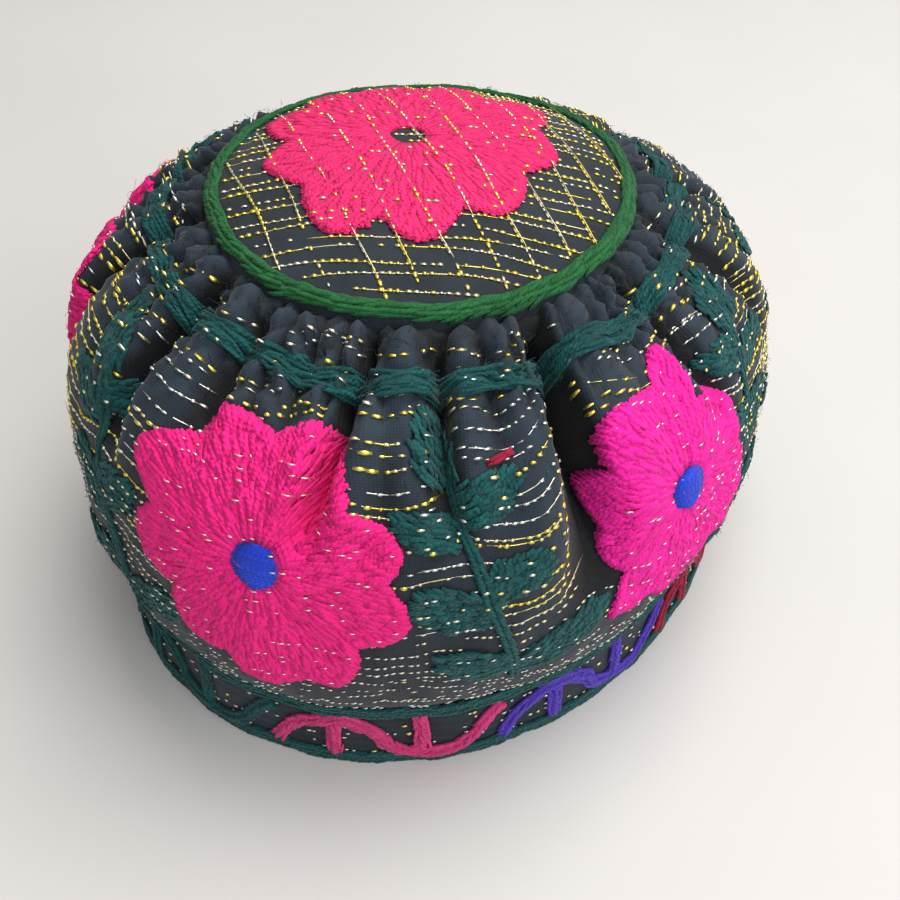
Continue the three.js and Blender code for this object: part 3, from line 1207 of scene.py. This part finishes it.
class SKULLCAP_OT_wall(bpy.types.Operator):
    """Gathered and pleated wall"""

    bl_idname = "skullcap.wall"
    bl_label = "Wall"

    def execute(self, context):
        sizes, colours, _ = workbasket(context)
        wall = WallCloth(sizes["pucker"])

        def shape(across, up):
            return wall.at(TURN * across, wall.runs[-1] * up)

        # Fold depth of each spot, painted as shade in folds and as light on crests
        def shade(across, up):
            return wall.shade(TURN * across, wall.runs[-1] * up)

        def dye(across, up):
            angle, run = TURN * across, wall.runs[-1] * up
            gathers = np.abs(run - gather_line(wall, angle)) < GATHER_HALF_WIDTH
            woolly = leaf_mask(wall, angle, run, LEAF_DYE_SHARE) | gathers
            tone = np.where(woolly[:, None], toned(colours.teal, LEAF_DYE), (0, 0, 0, 0))
            for flower, mask in flower_masks(wall, angle, run, PETAL_MARGIN):
                tone[mask] = toned(getattr(colours, flower.floss), PETAL_DYE)
            return tone

        piece = grid_piece("wall_cloth", WALL_GRID, shape, shade, dye)
        thicken(piece, sizes["cloth"] * MM)
        ground = ground_cloth("wall_ground", colours.cloth, WALL_WEAVE)
        finish_piece(piece, ground, "charcoal_cloth", "wall")
        return {"FINISHED"}


class SKULLCAP_OT_hem_band(bpy.types.Operator):
    """Folded hem band round the rim"""

    bl_idname = "skullcap.hem_band"
    bl_label = "Hem Band"

    def execute(self, context):
        sizes, colours, _ = workbasket(context)
        band = BandCloth()

        def squared(wave):
            return np.sign(wave) * np.abs(wave) ** BAND_SQUARENESS

        def shape(across, round_section):
            angle = TURN * across
            out = squared(np.cos(TURN * round_section))
            height = BAND_HEIGHT / 2 * (1 + squared(np.sin(TURN * round_section)))
            normal = band.normal(angle, height)
            normal[:, 2] = 0
            return band.at(angle, height) + unit(normal) * ((out - 1) * sizes["band"] / 2)[:, None]

        piece = grid_piece("hem_band_cloth", BAND_GRID, shape)
        ground = ground_cloth("band_ground", colours.cloth, BAND_WEAVE)
        finish_piece(piece, ground, "charcoal_cloth", "hem_band")
        return {"FINISHED"}


class SKULLCAP_OT_rings(bpy.types.Operator):
    """Green ring on the edge of the crown and teal ring over the gathers"""

    bl_idname = "skullcap.rings"
    bl_label = "Stitched Rings"

    def execute(self, context):
        sizes, colours, rng = workbasket(context)
        turn = np.linspace(0, TURN * RING_TURNS, CROWN_RING_POINTS)
        reach = (RING_RADIUS + ripple(CROWN_RING_UNEVEN, turn)) * (1 - OVAL * np.cos(2 * turn))
        path = np.stack([reach * np.cos(turn), reach * np.sin(turn)], -1)
        groups = rope_rows(CrownCloth(), path, CROWN_ROPE, RING_ROWS, sizes["wool"], rng, RING_LIFT)
        green = thread("green_wool", colours.green)
        embroider("crown_ring", groups, green, "green_thread", "crown_cord")
        wall = WallCloth(sizes["pucker"], GATHERED_PUCKER)
        turn = np.linspace(0, TURN * RING_TURNS, GATHER_RING_POINTS)
        path = np.stack([turn, gather_line(wall, turn)], -1)
        offsets = np.linspace(-GATHER_HALF_WIDTH, GATHER_HALF_WIDTH, GATHER_ROWS)
        rows = (Row(offset, rng.uniform(-GATHER_SLANT, GATHER_SLANT), 0) for offset in offsets)
        groups = rope_rows(wall, path, GATHER_ROPE, rows, sizes["wool"], rng, GATHER_LIFT)
        teal = thread("teal_wool", colours.teal)
        embroider("gather_ring", groups, teal, "teal_thread", "gather_cord")
        return {"FINISHED"}


class SKULLCAP_OT_flowers(bpy.types.Operator):
    """Satin-stitched flowers on the wall and the crown"""

    bl_idname = "skullcap.flowers"
    bl_label = "Flowers"

    def execute(self, context):
        sizes, colours, rng = workbasket(context, 1)
        floss = sizes["floss"]
        wall = WallCloth(sizes["pucker"], STITCHED_PUCKER)
        petal_floss = {
            tone: thread(tone + "_floss", getattr(colours, tone), 0.88, 1.12, **PETAL_FINISH)
            for tone in ("pink", "magenta")
        }
        blue = thread("blue_floss", colours.blue, deep=0.7)
        for row in WALL_FLOWERS:
            on_spot = partial(on_wall, wall, angle=row.angle, height=row.height)
            groups = self.petals(wall, on_spot, row.petals, row.turn, EYE_RADIUS, floss, rng)
            embroider(row.name, groups, petal_floss[row.floss], "pink_thread", end_share=PETAL_END)
            eye = on_spot(eye_stitches(EYE_RADIUS, floss, rng))
            strands = sew(wall, eye, EYE_LIFT, EYE_ARCH, floss, floss * EYE_THICK, rng)
            embroider(row.name + "_eye", [strands], blue, "blue_thread")
        on_crown = partial(np.add, CROWN_FLOWER_CENTRE)
        groups = self.petals(CrownCloth(), on_crown, CROWN_PETALS, 0, CROWN_EYE_RADIUS, floss, rng)
        coral = thread("coral_floss", colours.coral, 0.85, 1.15, **PETAL_FINISH)
        embroider("crown_flower", groups, coral, "pink_thread", end_share=PETAL_END)
        return {"FINISHED"}

    def petals(self, cloth, on_spot, petals, turn, eye, floss, rng):
        """Layers of petal stitches, brought from the flat onto a spot of the cloth."""

        def outline(headings):
            return petal_reach(petals, headings, turn)

        groups = []
        for layer in PETAL_LAYERS:
            flat = petal_stitches(outline, eye, floss * layer.spacing, layer.stitch, rng)
            lift = layer.lift + rng.uniform(*PETAL_LIFT, len(flat))
            width, height = floss * layer.width, floss * layer.thick
            groups.append(sew(cloth, on_spot(flat), lift, PETAL_ARCH, width, height, rng))
        return groups


class SKULLCAP_OT_sprays(bpy.types.Operator):
    """Teal leaf sprays between the flowers"""

    bl_idname = "skullcap.sprays"
    bl_label = "Leaf Sprays"

    def execute(self, context):
        sizes, colours, rng = workbasket(context, 2)
        wool = sizes["wool"]
        wall = WallCloth(sizes["pucker"], STITCHED_PUCKER)
        teal = thread("leaf_wool", colours.teal, deep=0.5, bright=1.45)
        rope = STEM_ROPE
        for row in SPRAYS:
            flip = np.array([row.flip, 1])
            stem = on_wall(wall, smooth_path(SPRAY_STEM) * flip, row.angle, row.height)
            groups = []
            for line in STEM_ROWS:
                tracks = beside_flowers(wall, stem_line(wall, stem, rope, line, rng, points=3))
                groups.append(sew(wall, tracks, line.lift, rope.arch, wool, wool * rope.thick, rng))
            for leaf in SPRAY_LEAVES:
                tracks = on_wall(wall, leaf_stitches(leaf, wool, rng) * flip, row.angle, row.height)
                tracks = beside_flowers(wall, tracks)
                lift = rng.uniform(*LEAF_LIFT, len(tracks))
                groups.append(
                    sew(wall, tracks, lift, LEAF_ARCH, wool * LEAF_WIDTH, wool * LEAF_THICK, rng))
            embroider(row.name, groups, teal, "teal_thread", end_share=LEAF_END)
        tick = on_wall(wall, smooth_path(RED_TICK), SPRAYS[0].angle, SPRAYS[0].height)
        groups = rope_rows(wall, tick, TICK_ROPE, TICK_ROWS, wool, rng)
        embroider("red_tick", groups, thread("tick_wool", colours.crimson), "pink_thread")
        return {"FINISHED"}


class SKULLCAP_OT_band_stitches(bpy.types.Operator):
    """Borders and zigzag vines of the hem band"""

    bl_idname = "skullcap.band_stitches"
    bl_label = "Band Stitches"

    def execute(self, context):
        sizes, colours, rng = workbasket(context, 3)
        wool = sizes["wool"]
        band = BandCloth()
        turn = np.linspace(0, TURN * BORDER_TURNS, BORDER_POINTS)
        groups = []
        for height in BORDER_HEIGHTS:
            path = np.stack([turn, np.full_like(turn, height)], -1)
            groups += rope_rows(band, path, BORDER_ROPE, BORDER_ROWS, wool, rng)
        embroider("band_borders", groups, thread("border_wool", colours.teal), "teal_thread")
        width = 360 / len(VINE_COLOURS)
        lines = [smooth_path(VINE_LINE, VINE_POINTS)]
        lines += [np.linspace(foot, top, TICK_POINTS) for foot, top in VINE_TICKS]
        for colour, slot in VINE_SLOTS.items():
            groups = []
            numbers = [number for number, name in enumerate(VINE_COLOURS) if name == colour]
            for number, line in product(numbers, lines):
                angle = np.radians(VINE_START + width * (number + line[:, 0]))
                path = np.stack([angle, line[:, 1] * BAND_HEIGHT], -1)
                groups += rope_rows(band, path, VINE_ROPE, VINE_ROWS, wool, rng)
            floss = thread(colour + "_vine_floss", getattr(colours, colour), deep=0.6, bright=1.25)
            embroider("vine_" + colour, groups, floss, slot)
        return {"FINISHED"}


class SKULLCAP_OT_metal_weft(bpy.types.Operator):
    """Gold and silver dashes woven into the cloth"""

    bl_idname = "skullcap.metal_weft"
    bl_label = "Metallic Weft"

    def execute(self, context):
        sizes, colours, rng = workbasket(context, 4)
        metal = metal_weft("metallic_yarn", colours.gold, colours.silver)
        self.on_the_wall(sizes, metal, rng)
        self.on_the_crown(sizes["weft"], metal, rng)
        self.on_the_band(sizes["weft"], metal, rng)
        return {"FINISHED"}

    def beads(self, cloth, spots, direction, lift, shine, weft, rng):
        """Short bright beads of yarn at the given spots, along a direction in the cloth's coordinates."""
        long = rng.uniform(*BEAD_LENGTHS, len(spots))
        scale = cloth.scale(spots[:, 0], spots[:, 1])
        heading = unit(np.array(direction) * scale)
        share = np.linspace(-0.5, 0.5, 3)
        ends = share[None, :, None] * (heading * long[:, None] / scale)[:, None, :]
        width = weft * rng.uniform(*BEAD_WIDTHS, len(spots)) * (0.8 + 0.4 * shine)
        return lay(cloth, spots[:, None, :] + ends, lift, BEAD_ARCH, width, width * BEAD_THICK, shine)

    def yarn(self, cloth, spots, shown, lift, shine, weft):
        """The thin yarn between the beads, in short lengths along a row of spots."""
        starts = np.arange(0, len(spots) - YARN_LENGTH, YARN_LENGTH)
        picks = starts[:, None] + np.arange(YARN_LENGTH + 1)
        picks = picks[shown[picks].mean(axis=1) > 0.5]
        width = weft * YARN_WIDTH
        gold = shine[picks].mean(axis=1)
        return lay(cloth, spots[picks], lift, 0, width, width * YARN_THICK, gold)

    def pull(self, angle, run):
        """How far the rows climb towards the deep folds."""
        climb = np.zeros_like(angle)
        for fold in PLEATS:
            turn = signed(np.degrees(angle) - fold.angle - fold.swing, 360)
            climb += 0.75 * fold.depth * hump(turn, 0, 9)
        return climb * np.clip((run - 22) / 40, 0, 1)

    def wall_row(self, wall, run, rng):
        """Spots of a row on the wall, how golden each is, and which are woven on top."""
        around = float(wall.scale(np.array([0.7]), np.array([run]))[0, 0]) * TURN
        count = int(around / (LOW_BEAD_PITCH if run < LOW_ROWS else BEAD_PITCH))
        angle = spaced(count, BEAD_LOOSE, rng) * TURN
        phase = rng.uniform(0, 6.3, 4)
        drift = 0.9 * np.sin(3 * angle + phase[0]) + 0.5 * np.sin(8 * angle + phase[1])
        height = np.minimum(run + drift + self.pull(angle, run), wall.runs[ROW_TOP_STATION])
        golden = np.clip((run - GOLD_START) / GOLD_REACH, 0, 1)
        shine = golden * (0.6 + 0.8 * np.sin(7 * angle + phase[2])) + rng.normal(0, GOLD_CHANCE, count)
        patch = np.sin(5 * angle + phase[3]) + 0.6 * np.sin(17 * angle + phase[1])
        keep = rng.uniform(0, 1, count) < np.clip(0.84 + 0.3 * patch, 0.3, 0.97)
        return np.stack([angle, height], -1), np.clip(shine, 0, 1), keep

    def on_the_wall(self, sizes, metal, rng):
        wall = WallCloth(sizes["pucker"])
        weft = sizes["weft"]
        rows = []
        lines = []
        run = ROWS_START
        while run < wall.runs[LAST_ROW_STATION]:
            low = run < LOW_ROWS
            spots, shine, keep = self.wall_row(wall, run, rng)
            count = len(spots)
            angle, height = spots.T
            flower, leaf = wall_cover(wall, angle, height)
            hidden = wall.shade(angle, height) > DEEP_SHADE
            plain = ~flower & ~leaf & ~hidden & (height < wall.run_at(YARN_TOP)) & (run > YARN_ROWS)
            lines.append(self.yarn(wall, spots, plain, YARN_LIFT, shine, weft))
            shine = np.where(flower, shine * PETAL_BEAD_GOLD, shine)
            keep &= ~flower | (rng.uniform(0, 1, count) < SHARE_ON_PETALS)
            keep &= ~leaf | (rng.uniform(0, 1, count) < SHARE_ON_LEAVES)
            keep &= ~hidden
            lift = np.where(flower, LIFT_ON_PETALS, np.where(leaf, LIFT_ON_LEAVES, BEAD_LIFT))
            beads = self.beads(wall, spots, (1.0, 0.0), lift, shine, weft, rng)
            beads.width[flower] *= PETAL_BEAD_WIDTH
            beads.width[:] *= np.interp(run, (LOW_ROWS, FULL_WIDTH_RUN), (LOW_BEAD_WIDTH, 1))
            if low:
                beads.width[:] *= LOW_BEAD_WIDTH
                keep &= rng.uniform(0, 1, count) < 0.45 + 0.4 * np.cos(3 * angle + 2.9)
            rows.append(picked(beads, keep))
            run += sizes["weft_rows"] * rng.uniform(*ROW_STEPS) * (LOW_ROW_STEP if low else 1)
        embroider("wall_weft", rows, metal, "metallic_thread", end_share=BEAD_END)
        embroider("wall_yarn", lines, metal, "metallic_thread")

    def on_the_crown(self, weft, metal, rng):
        crown = CrownCloth()
        rows = []
        lines = []
        edge = RING_RADIUS - 2
        count = int(2 * edge / BEAD_PITCH)
        for way in CROWN_WEFTS:
            heading = math.radians(way.heading)
            forward = np.array([math.cos(heading), math.sin(heading)])
            beside = np.array([-forward[1], forward[0]])
            for offset in np.arange(-edge, edge, way.gap) + way.gap / 2:
                along = spaced(count, BEAD_LOOSE, rng) * 2 * edge - edge
                sway = offset + 0.6 * np.sin(along * 0.06 + offset) + 0.3 * np.sin(along * 0.19)
                spots = along[:, None] * forward + sway[:, None] * beside
                angle = np.arctan2(spots[:, 1], spots[:, 0])
                inside = np.hypot(*spots.T) / (1 - OVAL * np.cos(2 * angle)) < edge
                centred = spots - np.array(CROWN_FLOWER_CENTRE)
                petal = inside_petals(centred[:, 0], centred[:, 1], CROWN_PETALS, 0)
                petal &= np.hypot(*centred.T) > CROWN_EYE_RADIUS
                shine = 0.75 + 0.5 * np.sin(0.2 * along + offset) + rng.normal(0, GOLD_CHANCE, count)
                shine = np.clip(shine, 0, 1)
                patch = np.sin(0.11 * along + 2.3 * offset)
                shown = inside & (patch > -0.85) & (~petal | way.yarn_on_petals)
                lines.append(self.yarn(crown, spots, shown, way.yarn_lift, shine, weft))
                share = np.where(petal, way.petal_share, 0.85 + 0.25 * patch)
                keep = inside & (rng.uniform(0, 1, count) < share)
                lift = np.where(petal, LIFT_ON_PETALS, CROWN_BEAD_LIFT)
                rows.append(picked(self.beads(crown, spots, forward, lift, shine, weft, rng), keep))
        embroider("crown_weft", rows, metal, "metallic_thread", end_share=BEAD_END)
        embroider("crown_yarn", lines, metal, "metallic_thread")

    def on_the_band(self, weft, metal, rng):
        band = BandCloth()
        rows = []
        for height in np.arange(*BAND_ROWS):
            angle = spaced(BAND_BEADS, BAND_BEAD_LOOSE, rng) * TURN
            keep = rng.uniform(0, 1, BAND_BEADS) < BAND_BEAD_SHARE
            shine = np.clip(rng.normal(0.25, 0.3, BAND_BEADS), 0, 1)
            spots = np.stack([angle, height + 0.4 * np.sin(6 * angle + height)], -1)
            beads = self.beads(band, spots, (1.0, 0.0), BAND_BEAD_LIFT, shine, weft, rng)
            rows.append(picked(beads, keep))
        embroider("band_weft", rows, metal, "metallic_thread", end_share=BEAD_END)


class SKULLCAP_OT_fuzz(bpy.types.Operator):
    """Loose hairs that stand off the cloth and the wool"""

    bl_idname = "skullcap.fuzz"
    bl_label = "Fuzz"

    def execute(self, context):
        sizes, colours, rng = workbasket(context, 5)
        wall = WallCloth(sizes["pucker"])
        count = context.scene.skullcap_sizes.hairs
        angle = rng.uniform(0, TURN, count)
        low = np.where(rng.uniform(0, 1, count) < GATHER_HAIR_SHARE, wall.run_at(HAIRY_ABOVE), 10)
        run = rng.uniform(low, wall.runs[HAIR_TOP_STATION], count)
        flower, leaf = wall_cover(wall, angle, run)
        gathered = np.abs(run - wall.run_at(GATHER_HEIGHT)) < WOOLLY_REACH
        woolly = (leaf | gathered) & ~flower
        dark = ~woolly & ~flower
        hair = {
            "teal_fuzz": (woolly, thread("teal_hair", colours.teal, bright=1.6), "teal_thread", 1.0),
            "pink_fuzz": (flower, thread("pink_hair", colours.pink), "pink_thread", 1.0),
            "cloth_fuzz": (dark, thread("charcoal_hair", colours.cloth, bright=3), "charcoal_cloth", 0.1),
        }
        for name, (chosen, material, slot, base) in hair.items():
            strands = self.hairs(wall, angle[chosen], run[chosen], base, rng)
            embroider(name, [strands], material, slot, sides=3, end_share=HAIR_END)
        return {"FINISHED"}

    def hairs(self, wall, angle, run, base, rng):
        """Fine bent hairs rooted at the given spots."""
        count = len(angle)
        share = np.linspace(0, 1, 3)
        lean = rng.normal(0, 1.0, (count, 2))
        reach = wall.scale(angle, run)[..., 0]
        first = angle[:, None] + share**HAIR_BEND * (lean[:, :1] / reach[:, None])
        second = run[:, None] + share**HAIR_BEND * lean[:, 1:]
        up = wall.normal(first, second)
        length = np.where(run > wall.run_at(SHAGGY_ABOVE), 0.45, 0.25)
        rise = base + share * rng.gamma(2.0, length)[:, None]
        centre = wall.at(first, second) + up * rise[..., None]
        thin = np.full((count, 3), HAIR_WIDTH)
        up = unit(up + rng.normal(0, 0.3, (count, 1, 3)))
        return Strands(centre, up, thin, thin, rng.uniform(0, 1, count))


class SKULLCAP_PT_panel(bpy.types.Panel):
    """Lists the steps that dress the cap"""

    bl_idname = "SKULLCAP_PT_panel"
    bl_label = "Skullcap"
    bl_space_type = "VIEW_3D"
    bl_region_type = "UI"
    bl_category = "Skullcap"

    def draw(self, context):
        for group in (context.scene.skullcap_sizes, context.scene.skullcap_colours):
            for name in group.__annotations__:
                self.layout.prop(group, name)
        for step in STEPS:
            self.layout.operator(step.bl_idname)


STEPS = (
    SKULLCAP_OT_stage,
    SKULLCAP_OT_crown,
    SKULLCAP_OT_wall,
    SKULLCAP_OT_hem_band,
    SKULLCAP_OT_rings,
    SKULLCAP_OT_flowers,
    SKULLCAP_OT_sprays,
    SKULLCAP_OT_band_stitches,
    SKULLCAP_OT_metal_weft,
    SKULLCAP_OT_fuzz,
)
CLASSES = (SkullcapSizes, SkullcapColours) + STEPS + (SKULLCAP_PT_panel,)


def register():
    for item in CLASSES:
        bpy.utils.register_class(item)
    bpy.types.Scene.skullcap_sizes = PointerProperty(type=SkullcapSizes)
    bpy.types.Scene.skullcap_colours = PointerProperty(type=SkullcapColours)


def unregister():
    del bpy.types.Scene.skullcap_colours
    del bpy.types.Scene.skullcap_sizes
    for item in reversed(CLASSES):
        bpy.utils.unregister_class(item)


def main():
    register()
    for step in STEPS:
        getattr(bpy.ops.skullcap, step.bl_idname.split(".")[1])()
    boxes = {"cad": CAD_BOX, "visual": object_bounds()}
    plain = {name: [[float(x) for x in corner] for corner in box] for name, box in boxes.items()}


if __name__ == "__main__":
    main()
